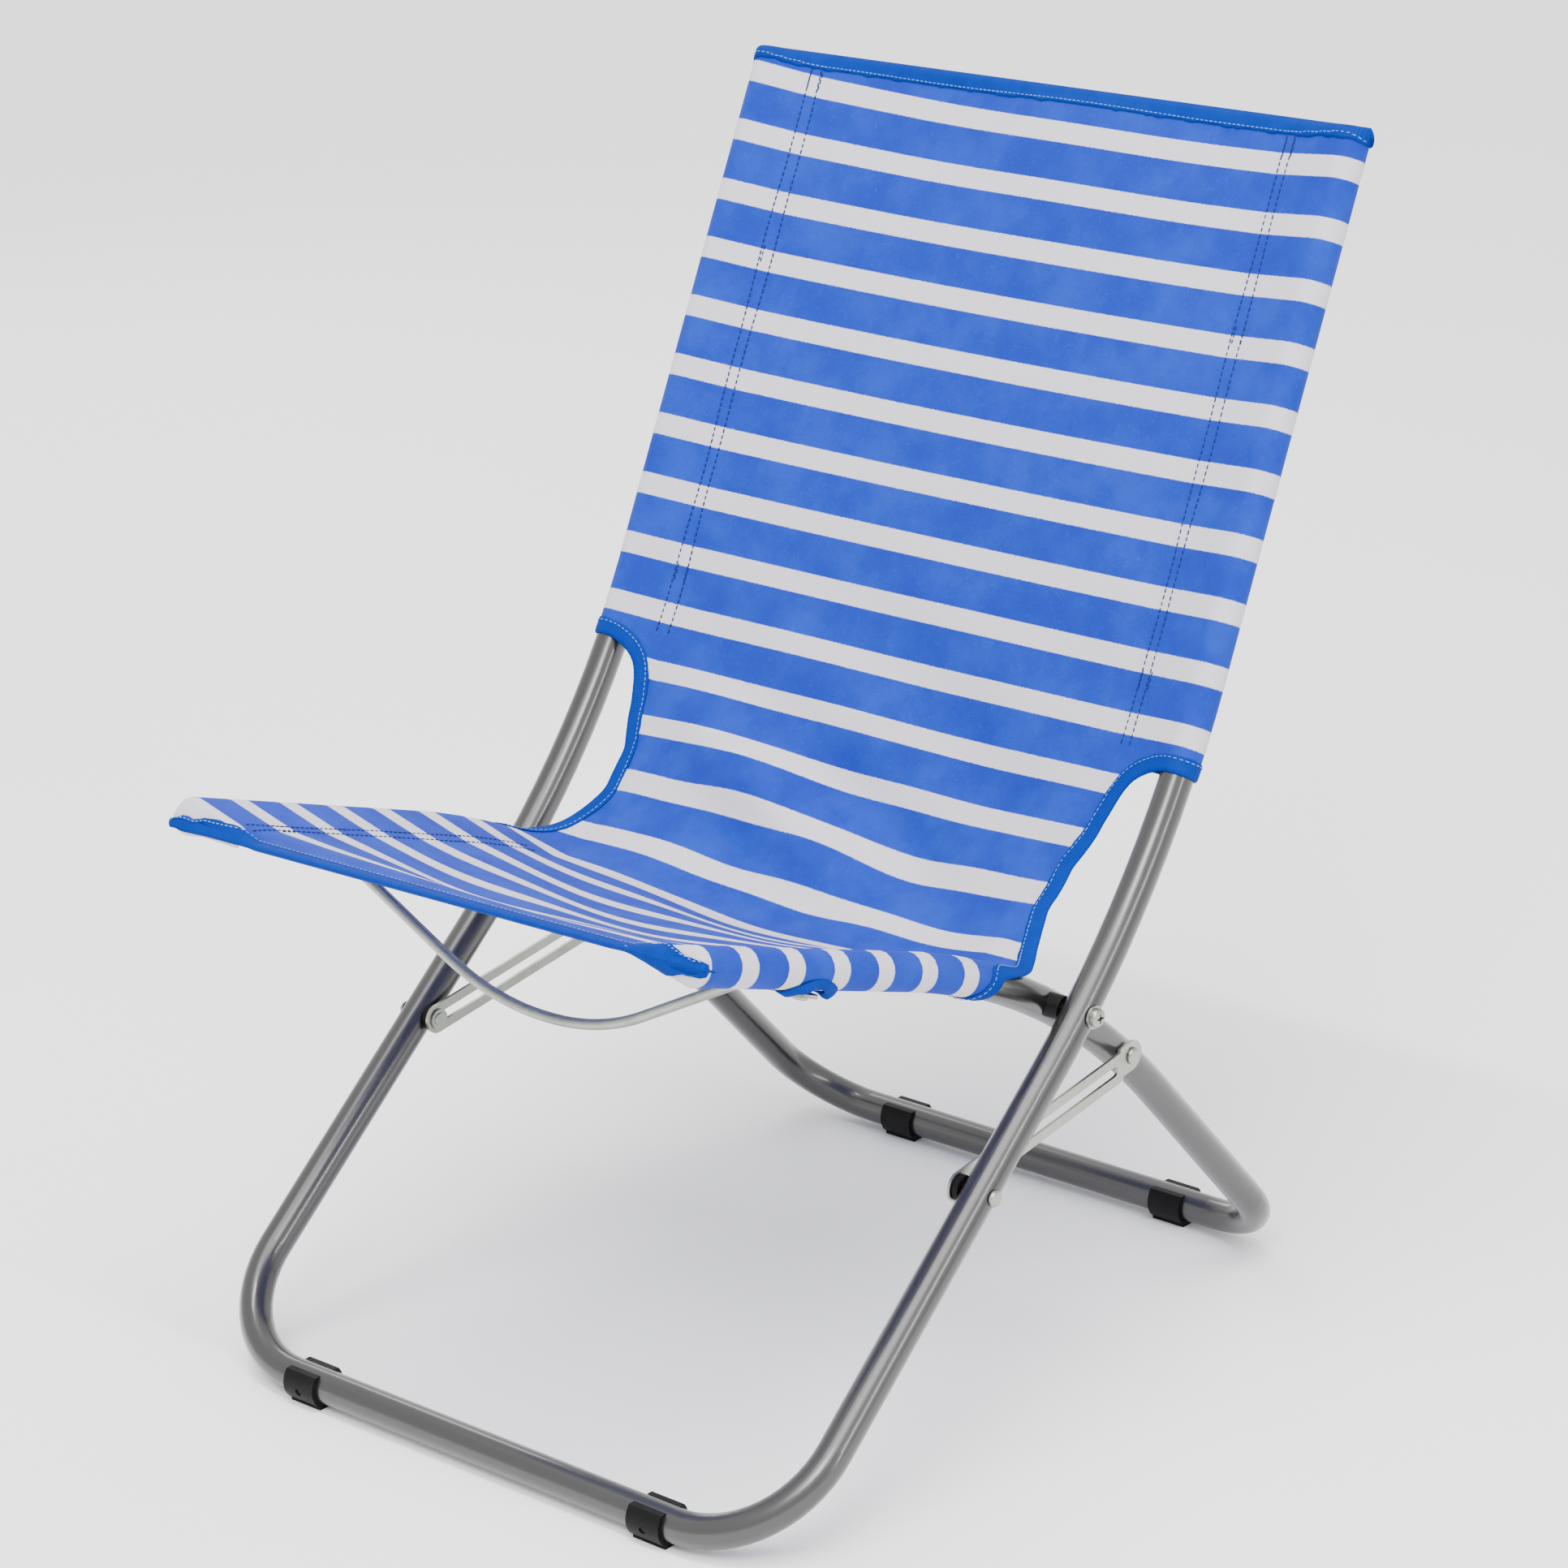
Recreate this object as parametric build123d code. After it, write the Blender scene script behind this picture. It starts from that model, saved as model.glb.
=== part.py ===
from build123d import *
import math
import os

# ---- driving dimensions (mm) ------------------------------------------------
TUBE_R = 11.0            # both frames are bent from 22 mm round tube
WALL = 1.2
A_HALF = 238.0           # outer frame, centre of tube to middle of chair
B_HALF = 206.0           # inner frame, the same
A_FOOT = (-280.5, 14.0)  # outer frame in side view (y, z): crossbar,
A_BEND = (89.7, 328.3)   # corner of the bend
A_TOP = (295.8, 768.6)   # and top end of the backrest
B_FOOT = (288.1, 14.0)   # inner frame in side view: crossbar,
B_BEND = (34.6, 280.1)   # corner of the bend
B_FRONT = (-300.4, 388.7)  # and front end of the seat rail
A_BEND_R = 629.0
B_BEND_R = 602.0
A_CORNER_R = 76.0
B_CORNER_R = 56.0

PIVOT_SCREW_R = 3.0
RUN_CLEAR = 0.06         # radial clearance of a pin that turns in a hole
JOINT_GAP = 0.3          # between faces that move past each other
GUIDE_FROM_FOOT = 259.5  # guide pin, measured up the leg from the crossbar
LINK_RIVET_R = 101.0     # link rivet, measured from the pivot
PIN_R = 3.0
SLOT_HALF = 3.5
LINK_T = 2.0
LINK_HALF = 10.0
LINK_STEP = 3.0          # joggle of the link
FOLD_DEG = 92.0

FOOT_CLIP_R = 14.0
FOOT_LIP = 9.5           # height of the clip's two lips above the middle of the tube
FOOT_CLIP_LEN = 26.0
FRONT_CLIP_X = 147.0
REAR_CLIP_X = 119.0

SLEEVE_IN = 11.5
SLEEVE_OUT = 12.9
SEAM_IN = 48.0           # sleeve seam, inwards of the tube centre
BACK_LEN = 412.0         # length of the backrest sleeves
SEAT_LEN = 280.0         # length of the seat sleeves
HEM = 6.0                # sleeve past the tube end

WIRE_R = 3.5
WIRE_FROM_FRONT = 99.0   # spreader end, measured back along the seat rail
WIRE_DROP = 65.5
WIRE_SHOULDER = 168.0    # half width where the spreader leaves the level of its ends
WIRE_BELLY = 44.0        # half width where its sloping sides would meet its lowest line
WIRE_BEND_R = 170.0

os.makedirs("parts", exist_ok=True)


# ---- side-view geometry -----------------------------------------------------
def unit(a, b):
    length = math.dist(a, b)
    return ((b[0] - a[0]) / length, (b[1] - a[1]) / length)


def bend_points(start, corner, end, radius):
    """Tangent points and middle of the arc that rounds a corner."""
    d0 = unit(corner, start)
    d1 = unit(corner, end)
    half = math.acos(d0[0] * d1[0] + d0[1] * d1[1]) / 2
    tangent = radius / math.tan(half)
    p0 = (corner[0] + d0[0] * tangent, corner[1] + d0[1] * tangent)
    p1 = (corner[0] + d1[0] * tangent, corner[1] + d1[1] * tangent)
    m = ((d0[0] + d1[0]) / 2, (d0[1] + d1[1]) / 2)
    size = math.hypot(*m)
    reach = radius / math.sin(half) - radius
    mid = (corner[0] + m[0] / size * reach, corner[1] + m[1] / size * reach)
    centre = (corner[0] + m[0] / size * (reach + radius), corner[1] + m[1] / size * (reach + radius))
    return p0, mid, p1, centre, math.pi - 2 * half


def side_point(start, corner, end, radius, s):
    """Point and direction at length s from start, in side view."""
    p0, mid, p1, centre, turn = bend_points(start, corner, end, radius)
    straight = math.dist(start, p0)
    d0 = unit(start, corner)
    d1 = unit(corner, end)
    if s <= straight:
        return (start[0] + d0[0] * s, start[1] + d0[1] * s), d0
    arc = radius * turn
    if s <= straight + arc:
        sign = 1 if d0[0] * d1[1] - d0[1] * d1[0] > 0 else -1
        a = sign * (s - straight) / radius
        ca, sa = math.cos(a), math.sin(a)
        v = (p0[0] - centre[0], p0[1] - centre[1])
        point = (centre[0] + v[0] * ca - v[1] * sa, centre[1] + v[0] * sa + v[1] * ca)
        return point, (d0[0] * ca - d0[1] * sa, d0[0] * sa + d0[1] * ca)
    rest = s - straight - arc
    return (p1[0] + d1[0] * rest, p1[1] + d1[1] * rest), d1


def on_a(s):
    """Outer frame at length s down from the top of the backrest."""
    return side_point(A_TOP, A_BEND, A_FOOT, A_BEND_R, s)


def on_b(s):
    """Inner frame at length s back from the front of the seat."""
    return side_point(B_FRONT, B_BEND, B_FOOT, B_BEND_R, s)


def find_pivot():
    """Where the two frames cross in side view."""
    best = None
    for i in range(5400, 6200, 4):
        a = on_a(i / 10)[0]
        for j in range(3000, 3900, 4):
            b = on_b(j / 10)[0]
            d = math.dist(a, b)
            if best is None or d < best[0]:
                best = (d, i / 10, j / 10, a)
    return best[3], best[2]


def find_rivet(pivot, from_s):
    """Point of the inner frame at LINK_RIVET_R below the pivot."""
    s = from_s
    while math.dist(on_b(s)[0], pivot) < LINK_RIVET_R:
        s += 0.05
    return on_b(s)


PIVOT, PIVOT_S = find_pivot()
LEG = unit(A_FOOT, A_BEND)
GUIDE = (A_FOOT[0] + LEG[0] * GUIDE_FROM_FOOT, A_FOOT[1] + LEG[1] * GUIDE_FROM_FOOT)
RIVET, RIVET_DIR = find_rivet(PIVOT, PIVOT_S)


def angle_at(a, b, c):
    """Angle from direction a-b to direction a-c, degrees, in (-180, 180]."""
    t = math.atan2(c[1] - a[1], c[0] - a[0]) - math.atan2(b[1] - a[1], b[0] - a[0])
    return math.degrees((t + math.pi) % (2 * math.pi) - math.pi)


def folded_guide():
    """Guide pin in the inner frame's own axes with the chair folded."""
    a = math.radians(FOLD_DEG)
    y = GUIDE[0] - PIVOT[0]
    z = GUIDE[1] - PIVOT[1]
    return (PIVOT[0] + y * math.cos(a) - z * math.sin(a), PIVOT[1] + y * math.sin(a) + z * math.cos(a))


SLOT_FAR = math.dist(RIVET, GUIDE)
SLOT_NEAR = math.dist(RIVET, folded_guide())
LINK_TURN = angle_at(RIVET, GUIDE, folded_guide())

# stack of the parts beside the frames, from the middle outwards (x)
B_OUT = B_HALF + TUBE_R
A_IN = A_HALF - TUBE_R
A_OUT = A_HALF + TUBE_R
PLATE_X = B_OUT + JOINT_GAP
BODY_X = PLATE_X + LINK_STEP


# ---- tools ------------------------------------------------------------------
def side_plane(x, point, along=(1.0, 0.0)):
    """Plane facing +X at a point of the side view, its x axis along a direction."""
    return Plane(origin=(x, point[0], point[1]), x_dir=(0, along[0], along[1]), z_dir=(1, 0, 0))


def rod(x0, x1, point, radius):
    """Round rod along X."""
    return side_plane(x0, point) * extrude(Circle(radius), x1 - x0)


def ring(x0, x1, point, outer, inner):
    """Round ring along X."""
    return side_plane(x0, point) * extrude(Circle(outer) - Circle(inner), x1 - x0)


def mirror_x(shape):
    return mirror(shape, about=Plane.YZ)


def frame_path(half, start, corner, foot, bend_r, corner_r):
    """Centre line of a bent U frame: down one side, across and up the other."""
    p0, mid, p1, centre, turn = bend_points(start, corner, foot, bend_r)
    up = unit(foot, corner)
    k = 1 - math.sqrt(0.5)

    def at(x, p):
        return Vector(x, p[0], p[1])

    def leg(length):
        return (foot[0] + up[0] * length, foot[1] + up[1] * length)

    edges = []
    for side in (-1, 1):
        edges.append(Line(at(side * half, start), at(side * half, p0)))
        edges.append(ThreePointArc(at(side * half, p0), at(side * half, mid), at(side * half, p1)))
        edges.append(Line(at(side * half, p1), at(side * half, leg(corner_r))))
        middle = at(side * (half - corner_r * k), leg(corner_r * k))
        edges.append(ThreePointArc(at(side * half, leg(corner_r)), middle, at(side * (half - corner_r), foot)))
    edges.append(Line(at(-half + corner_r, foot), at(half - corner_r, foot)))
    return Wire(edges)


def bent_tube(half, start, corner, foot, bend_r, corner_r, holes):
    """Hollow bent frame with cross holes: (point, radius) pairs."""
    path = frame_path(half, start, corner, foot, bend_r, corner_r)
    d = unit(start, corner)
    plane = Plane(origin=(-half, start[0], start[1]), z_dir=(0, d[0], d[1]))
    tube = sweep(plane * (Circle(TUBE_R) - Circle(TUBE_R - WALL)), path=path)
    for point, radius in holes:
        for side in (-1, 1):
            x = side * half
            tube -= rod(x - TUBE_R - 2, x + TUBE_R + 2, point, radius)
    return tube


def end_cap(half, start, corner):
    """Plug with a flange for an open tube end."""
    d = unit(corner, start)
    plane = Plane(origin=(half, start[0], start[1]), z_dir=(0, d[0], d[1]))
    plug = Pos(0, 0, -14) * extrude(Circle(TUBE_R - WALL - 0.05) - Circle(TUBE_R - WALL - 2), 14.1)
    flange = Pos(0, 0, 0.1) * extrude(Circle(TUBE_R + 0.2), 2.4)
    flange = fillet(flange.edges().group_by(Axis.Z)[-1], 1.2)
    return plane * (plug + flange)


def foot_clip(x, foot, facing):
    """Clip that snaps round the underside of a crossbar, with a flat sole."""
    shell = Circle(FOOT_CLIP_R) - Circle(TUBE_R + 0.05)
    sole = Pos(0, -FOOT_CLIP_R + 1.4) * Rectangle(15, 2.8)
    top = Pos(0, FOOT_LIP + 20) * Rectangle(60, 40)
    profile = shell + (sole - Circle(TUBE_R + 0.05)) - top
    clip = side_plane(x - FOOT_CLIP_LEN / 2, foot) * extrude(profile, FOOT_CLIP_LEN)
    down = math.radians(12)
    out = Vector(0, facing * math.cos(down), -math.sin(down))
    centre = Vector(x, foot[0], foot[1]) + out * (FOOT_CLIP_R - 0.9)
    clip -= Plane(origin=centre, z_dir=out) * extrude(Circle(2.4), 3)
    return clip


# ---- hardware of the right-hand side ----------------------------------------
def pivot_screw():
    """Cross-recess pan head screw through both frames."""
    head_x = A_OUT + 1.4
    shank = rod(B_HALF - TUBE_R - 7.5, head_x + 0.2, PIVOT, PIVOT_SCREW_R)
    head = Cylinder(6.0, 4.0, align=(Align.CENTER, Align.CENTER, Align.MIN))
    head = fillet(head.edges().group_by(Axis.Z)[-1], 2.2)
    for turn in (0, 90):
        head -= Rot(0, 0, turn) * Pos(0, 0, 3.2) * Box(6.4, 1.2, 2.8)
    head -= Pos(0, 0, 2.6) * Cylinder(1.5, 3)
    return shank + side_plane(head_x, PIVOT) * head


def pivot_washer():
    return ring(A_OUT + 0.05, A_OUT + 1.35, PIVOT, 7.5, PIVOT_SCREW_R + 0.1)


def pivot_nut():
    """Lock nut on the inner side of the inner frame."""
    x1 = B_HALF - TUBE_R - JOINT_GAP - 0.1
    body = extrude(RegularPolygon(5.8, 6), 4.6) + Pos(0, 0, 4.6) * extrude(Circle(4.6), 1.6)
    body -= Cylinder(PIVOT_SCREW_R + 0.02, 20)
    return Plane(origin=(x1, PIVOT[0], PIVOT[1]), x_dir=(0, 1, 0), z_dir=(-1, 0, 0)) * body


def pivot_spacer():
    """Saddle that rides on the inner frame and keeps the frames apart."""
    body = rod(B_HALF + 4.5, A_IN - 0.4, PIVOT, 8.0)
    end = body.edges().group_by(Axis.X)[-1]
    body = fillet(end, 0.8)
    path_dir = on_b(PIVOT_S)[1]
    axis = Plane(origin=(B_HALF, PIVOT[0], PIVOT[1]), z_dir=(0, path_dir[0], path_dir[1]))
    body -= axis * Cylinder(TUBE_R + 0.15, 60)
    return body - rod(B_HALF - 10, A_OUT, PIVOT, PIVOT_SCREW_R + RUN_CLEAR)


def guide_pin():
    """Headed stub in the outer leg; the open joint of the linkage is at its tip."""
    shank = rod(BODY_X + LINK_T + 0.4, A_OUT + 0.4, GUIDE, PIN_R)
    head = Cylinder(5.5, 2.8, align=(Align.CENTER, Align.CENTER, Align.MIN))
    head = fillet(head.edges().group_by(Axis.Z)[-1], 2.2)
    return shank + side_plane(A_OUT + 0.1, GUIDE) * head


def guide_bush():
    body = ring(BODY_X + LINK_T + 0.4, A_IN - 0.05, GUIDE, 8.5, PIN_R + 0.05)
    return fillet(body.edges().group_by(Axis.X)[0], 0.5)


def slider_pin():
    """Inner length of the guide pin that runs in the slot, with its peened end."""
    shank = rod(PLATE_X + 0.2, BODY_X + LINK_T + 0.1, GUIDE, PIN_R)
    head = Cylinder(4.6, 1.0, align=(Align.CENTER, Align.CENTER, Align.MIN))
    head = fillet(head.edges().group_by(Axis.Z)[0], 0.7)
    return shank + side_plane(PLATE_X + 0.3, GUIDE) * head


def slider_washer():
    return ring(PLATE_X + 1.35, BODY_X - JOINT_GAP, GUIDE, 7.0, PIN_R + 0.05)


def link():
    """Slotted flat link with a joggled end; drawn along +X from its rivet."""
    far = SLOT_FAR
    end_flat = 11.5
    end_step = 15.5
    side = [
        (-LINK_HALF - 5, 0), (end_flat, 0), (end_step, LINK_STEP), (far + 30, LINK_STEP),
        (far + 30, LINK_STEP + LINK_T), (end_step - 0.6, LINK_STEP + LINK_T),
        (end_flat - 0.6, LINK_T), (-LINK_HALF - 5, LINK_T),
    ]
    strip = Plane.XZ * Pos(0, 0, -20) * extrude(Polygon(*side, align=None), 40)
    plan = Pos(far / 2, 0) * SlotCenterToCenter(far, 2 * LINK_HALF)
    near = SLOT_NEAR - 15
    far_end = far + JOINT_GAP + 0.1
    slot = Pos((near + far_end) / 2, 0) * SlotCenterToCenter(far_end - near, 2 * SLOT_HALF)
    hole = Circle(PIN_R + RUN_CLEAR)
    cutter = Pos(0, 0, -10) * extrude(plan - slot - hole, 30)
    body = strip & cutter
    along = unit(RIVET, GUIDE)
    place = Plane(origin=(PLATE_X, RIVET[0], RIVET[1]), x_dir=(0, along[0], along[1]), z_dir=(1, 0, 0))
    return place * body


def link_rivet():
    """Rivet through the inner frame, domed outside and peened inside."""
    top = PLATE_X + LINK_T + 0.3
    inner = B_HALF - TUBE_R - 0.05
    shank = rod(inner - 0.2, top + 0.2, RIVET, PIN_R)
    head = Cylinder(5.6, 2.4, align=(Align.CENTER, Align.CENTER, Align.MIN))
    head = fillet(head.edges().group_by(Axis.Z)[-1], 1.9)
    tail = Cylinder(4.8, 1.6, align=(Align.CENTER, Align.CENTER, Align.MIN))
    tail = fillet(tail.edges().group_by(Axis.Z)[-1], 1.2)
    back = Plane(origin=(inner, RIVET[0], RIVET[1]), x_dir=(0, 1, 0), z_dir=(-1, 0, 0))
    return shank + side_plane(top, RIVET) * head + back * tail


# ---- spreader ---------------------------------------------------------------
WIRE_POINT, WIRE_DIR = on_b(WIRE_FROM_FRONT)
WIRE_DOWN = (WIRE_DIR[1], -WIRE_DIR[0])
TAB_OFF = SLEEVE_OUT + 0.2


def under_rail(off):
    """Point below the seat rail at the spreader, measured square to the rail."""
    return (WIRE_POINT[0] + WIRE_DOWN[0] * off, WIRE_POINT[1] + WIRE_DOWN[1] * off)


def spreader_wire():
    """Bent wire with flattened ends that hangs between the seat rails."""
    tab_half = 6.5
    tab_t = 2.2
    y0, z0 = under_rail(TAB_OFF + tab_t / 2)
    x_tab = B_HALF - 7
    pts = [(-x_tab, y0, z0), (-WIRE_SHOULDER, y0, z0), (-WIRE_BELLY, y0, z0 - WIRE_DROP)]
    pts += [(-p[0], p[1], p[2]) for p in reversed(pts)]
    path = FilletPolyline(*pts, radius=[24, WIRE_BEND_R, WIRE_BEND_R, 24])
    wire = sweep(Plane(origin=pts[0], z_dir=(1, 0, 0)) * Circle(WIRE_R), path=path)
    for side in (-1, 1):
        plane = Plane(origin=(side * B_HALF, y0, z0), x_dir=(1, 0, 0), z_dir=(0, WIRE_DOWN[0], WIRE_DOWN[1]))
        wire -= plane * Pos(0, 0, tab_t / 2 + 5) * Box(40, 30, 10)
        wire -= plane * Pos(0, 0, -tab_t / 2 - 5) * Box(40, 30, 10)
        pad = Pos(0, 0, -tab_t / 2) * extrude(SlotCenterToCenter(10, 2 * tab_half), tab_t)
        wire += plane * pad
        wire -= plane * Cylinder(2.6, 20)
    return wire


def spreader_screw():
    """Screw up through the flattened end into the underside of the seat rail."""
    face = under_rail(TAB_OFF + 2.2)
    plane = Plane(origin=(B_HALF, face[0], face[1]), x_dir=(1, 0, 0), z_dir=(0, WIRE_DOWN[0], WIRE_DOWN[1]))
    head = Pos(0, 0, 0.05) * Cylinder(5.0, 2.6, align=(Align.CENTER, Align.CENTER, Align.MIN))
    head = fillet(head.edges().group_by(Axis.Z)[-1], 1.6)
    for turn in (0, 90):
        head -= Rot(0, 0, turn) * Pos(0, 0, 2.4) * Box(5.0, 1.0, 2.0)
    shank = Pos(0, 0, -8) * extrude(Circle(2.4), 8.2)
    return plane * (head + shank)


def spreader_hole(radius):
    """Cutters for the screws of the spreader in the seat rails and sleeves."""
    face = under_rail(TAB_OFF + 2)
    holes = []
    for side in (-1, 1):
        plane = Plane(origin=(side * B_HALF, face[0], face[1]), x_dir=(1, 0, 0), z_dir=(0, WIRE_DOWN[0], WIRE_DOWN[1]))
        holes.append(plane * Pos(0, 0, -12) * extrude(Circle(radius), 14))
    return holes


# ---- fabric sling (plain closed solids) -------------------------------------
def sleeve_profile(half):
    """Panel with a teardrop sleeve at each side; y is towards the sitter."""
    tear_out = make_hull(
        (Pos(half, 0) * Circle(SLEEVE_OUT)).edges() + (Pos(half - SEAM_IN, 12.2) * Circle(0.7)).edges()
    )
    tear_in = make_hull(
        (Pos(half, 0) * Circle(SLEEVE_IN)).edges() + (Pos(half - SEAM_IN + 5, 11.3) * Circle(0.15)).edges()
    )
    ear = tear_out - tear_in
    panel = Pos(0, 12.2) * Rectangle(2 * (half - SEAM_IN) + 1, 1.4)
    return panel + ear + mirror(ear, about=Plane.YZ)


def sling_panel(half, start, corner, end, bend_r, length, toward):
    """Sleeved panel swept along a frame's side view from its free end."""
    p0, mid, p1, centre, turn = bend_points(start, corner, end, bend_r)
    d = unit(start, corner)
    first = (start[0] - d[0] * HEM, start[1] - d[1] * HEM)
    straight = math.dist(start, p0)
    last = side_point(start, corner, end, bend_r, length)[0]
    middle = side_point(start, corner, end, bend_r, (straight + length) / 2)[0]
    line = Line((0, *first), (0, *p0))
    arc = ThreePointArc((0, *p0), (0, *middle), (0, *last))
    normal = (-d[1] * toward, d[0] * toward)
    plane = Plane(origin=(0, *first), x_dir=(toward * 1.0, 0, 0), z_dir=(0, d[0], d[1]))
    if plane.y_dir.Y * normal[0] + plane.y_dir.Z * normal[1] < 0:
        plane = Plane(origin=(0, *first), x_dir=(-toward * 1.0, 0, 0), z_dir=(0, d[0], d[1]))
    return sweep(plane * sleeve_profile(half), path=Wire([line, arc]))


def sling_seat():
    panel = sling_panel(B_HALF, B_FRONT, B_BEND, B_FOOT, B_BEND_R, SEAT_LEN, 1)
    for hole in spreader_hole(3.0):
        panel -= hole
    return panel


def sling_crook():
    """Slack fabric between the backrest and the seat."""
    pa, da = on_a(BACK_LEN)
    pb, db = on_b(SEAT_LEN)
    off = 12.2
    qa = (pa[0] + da[1] * off, pa[1] - da[0] * off)
    qb = (pb[0] - db[1] * off, pb[1] + db[0] * off)
    gap = 1.0
    qa = (qa[0] + da[0] * gap, qa[1] + da[1] * gap)
    qb = (qb[0] + db[0] * gap, qb[1] + db[1] * gap)
    det = da[0] * -db[1] + da[1] * db[0]
    k = ((qb[0] - qa[0]) * -db[1] + (qb[1] - qa[1]) * db[0]) / det
    ctrl = (qa[0] + da[0] * k, qa[1] + da[1] * k)
    curve = Bezier((0, *qa), (0, *ctrl), (0, *qb))
    plane = Plane(origin=(0, *qa), x_dir=(1, 0, 0), z_dir=(0, *da))
    return sweep(plane * Rectangle(2 * 188.0, 1.4), path=curve)


# ---- write the nodes --------------------------------------------------------
a_holes = [(PIVOT, PIVOT_SCREW_R + 0.05), (GUIDE, PIN_R + 0.05)]
b_holes = [(PIVOT, PIVOT_SCREW_R + RUN_CLEAR), (RIVET, PIN_R + 0.05)]
outer = bent_tube(A_HALF, A_TOP, A_BEND, A_FOOT, A_BEND_R, A_CORNER_R, a_holes)
inner = bent_tube(B_HALF, B_FRONT, B_BEND, B_FOOT, B_BEND_R, B_CORNER_R, b_holes)
for hole in spreader_hole(2.5):
    inner -= hole

single = {
    "outer_frame": outer,
    "inner_frame": inner,
    "spreader_wire": spreader_wire(),
    "sling_back": sling_panel(A_HALF, A_TOP, A_BEND, A_FOOT, A_BEND_R, BACK_LEN, -1),
    "sling_seat": sling_seat(),
    "sling_crook": sling_crook(),
}
paired = {
    "cap_back": end_cap(A_HALF, A_TOP, A_BEND),
    "cap_seat": end_cap(B_HALF, B_FRONT, B_BEND),
    "foot_front": foot_clip(FRONT_CLIP_X, A_FOOT, -1),
    "foot_rear": foot_clip(REAR_CLIP_X, B_FOOT, 1),
    "pivot_screw": pivot_screw(),
    "pivot_washer": pivot_washer(),
    "pivot_nut": pivot_nut(),
    "pivot_spacer": pivot_spacer(),
    "guide_pin": guide_pin(),
    "guide_bush": guide_bush(),
    "slider_pin": slider_pin(),
    "slider_washer": slider_washer(),
    "link": link(),
    "link_rivet": link_rivet(),
    "spreader_screw": spreader_screw(),
}
for name, shape in paired.items():
    single[name + "_right"] = shape
    single[name + "_left"] = mirror_x(shape)
for name, shape in single.items():
    export_step(shape, f"parts/{name}.step")

print("pivot", PIVOT, "guide pin", GUIDE, "link rivet", RIVET)
print("slot travel", SLOT_FAR, SLOT_NEAR, "link turn", LINK_TURN, "ratio", LINK_TURN / FOLD_DEG)
print("slide ratio m/rad", (SLOT_FAR - SLOT_NEAR) / 1000 / math.radians(FOLD_DEG))
print("wire end", under_rail(TAB_OFF + 1.1), "link direction", unit(RIVET, GUIDE))
low = [1e9] * 3
high = [-1e9] * 3
for shape in single.values():
    box = shape.bounding_box()
    for i, (a, b) in enumerate(zip(box.min, box.max)):
        low[i] = min(low[i], a)
        high[i] = max(high[i], b)
print("box", low, high, "middle y", (low[1] + high[1]) / 2)
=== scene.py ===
# %% [markdown]
# # A folding beach chair in Blender
#
# The tube frames, links, screws and clips come ready made from the CAD model. This lesson gives them
# their finishes, and makes what CAD leaves plain: the striped sling with its sleeves, the blue tape
# that binds its edges, and all the stitching. The first cell loads the CAD model and keeps its size.

# %% Load the chair
import math
import random

import bpy
import numpy as np
from mathutils import Matrix, Vector


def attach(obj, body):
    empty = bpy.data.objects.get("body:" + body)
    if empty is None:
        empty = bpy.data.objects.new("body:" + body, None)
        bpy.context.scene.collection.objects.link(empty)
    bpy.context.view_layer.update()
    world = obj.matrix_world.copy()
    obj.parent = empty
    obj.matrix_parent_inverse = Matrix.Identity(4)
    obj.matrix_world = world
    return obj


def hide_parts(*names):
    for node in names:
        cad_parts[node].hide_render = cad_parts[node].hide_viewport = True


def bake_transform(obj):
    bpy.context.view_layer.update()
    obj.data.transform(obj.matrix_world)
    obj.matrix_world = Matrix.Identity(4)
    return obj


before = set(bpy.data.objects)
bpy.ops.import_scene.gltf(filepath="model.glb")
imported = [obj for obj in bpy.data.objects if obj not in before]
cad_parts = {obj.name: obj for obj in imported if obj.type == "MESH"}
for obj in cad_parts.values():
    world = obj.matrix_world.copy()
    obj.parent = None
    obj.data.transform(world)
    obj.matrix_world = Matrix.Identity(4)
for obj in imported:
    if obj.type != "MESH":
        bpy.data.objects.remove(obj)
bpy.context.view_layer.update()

# %% [markdown]
# ## The two frames in side view
#
# Both frames are tubes bent in one plane on each side of the chair, so a point on either is known from
# its length along the tube. The sling follows those same two lines, and a small function that walks
# along straight, arc and straight gives the place and direction anywhere on them.

# %% Walk along a bent tube
TUBE_R = 0.011
OUTER = {"half": 0.238, "start": (0.2958, 0.7686), "corner": (0.0897, 0.3283), "end": (-0.2805, 0.014)}
OUTER["bend"] = 0.629
INNER = {"half": 0.206, "start": (-0.3004, 0.3887), "corner": (0.0346, 0.2801), "end": (0.2881, 0.014)}
INNER["bend"] = 0.602


def side_point(tube, s):
    """Place and direction, as (y, z) arrays, at length s from the tube's free end."""
    a, c, e = (np.array(tube[k]) for k in ("start", "corner", "end"))
    d0 = (c - a) / np.linalg.norm(c - a)
    d1 = (e - c) / np.linalg.norm(e - c)
    turn = math.acos(float(d0 @ d1))
    radius = tube["bend"]
    cut = radius * math.tan(turn / 2)
    straight = np.linalg.norm(c - a) - cut
    sign = 1 if d0[0] * d1[1] - d0[1] * d1[0] > 0 else -1
    if s <= straight:
        return a + d0 * s, d0
    if s <= straight + radius * turn:
        angle = sign * (s - straight) / radius
        side = sign * np.array([-d0[1], d0[0]])
        centre = a + d0 * straight + side * radius
        spin = np.array([[math.cos(angle), -math.sin(angle)], [math.sin(angle), math.cos(angle)]])
        return centre + spin @ (-side * radius), spin @ d0
    return c + d1 * (cut + s - straight - radius * turn), d1


print("top of the backrest", side_point(OUTER, 0)[0], "front of the seat", side_point(INNER, 0)[0])

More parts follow.
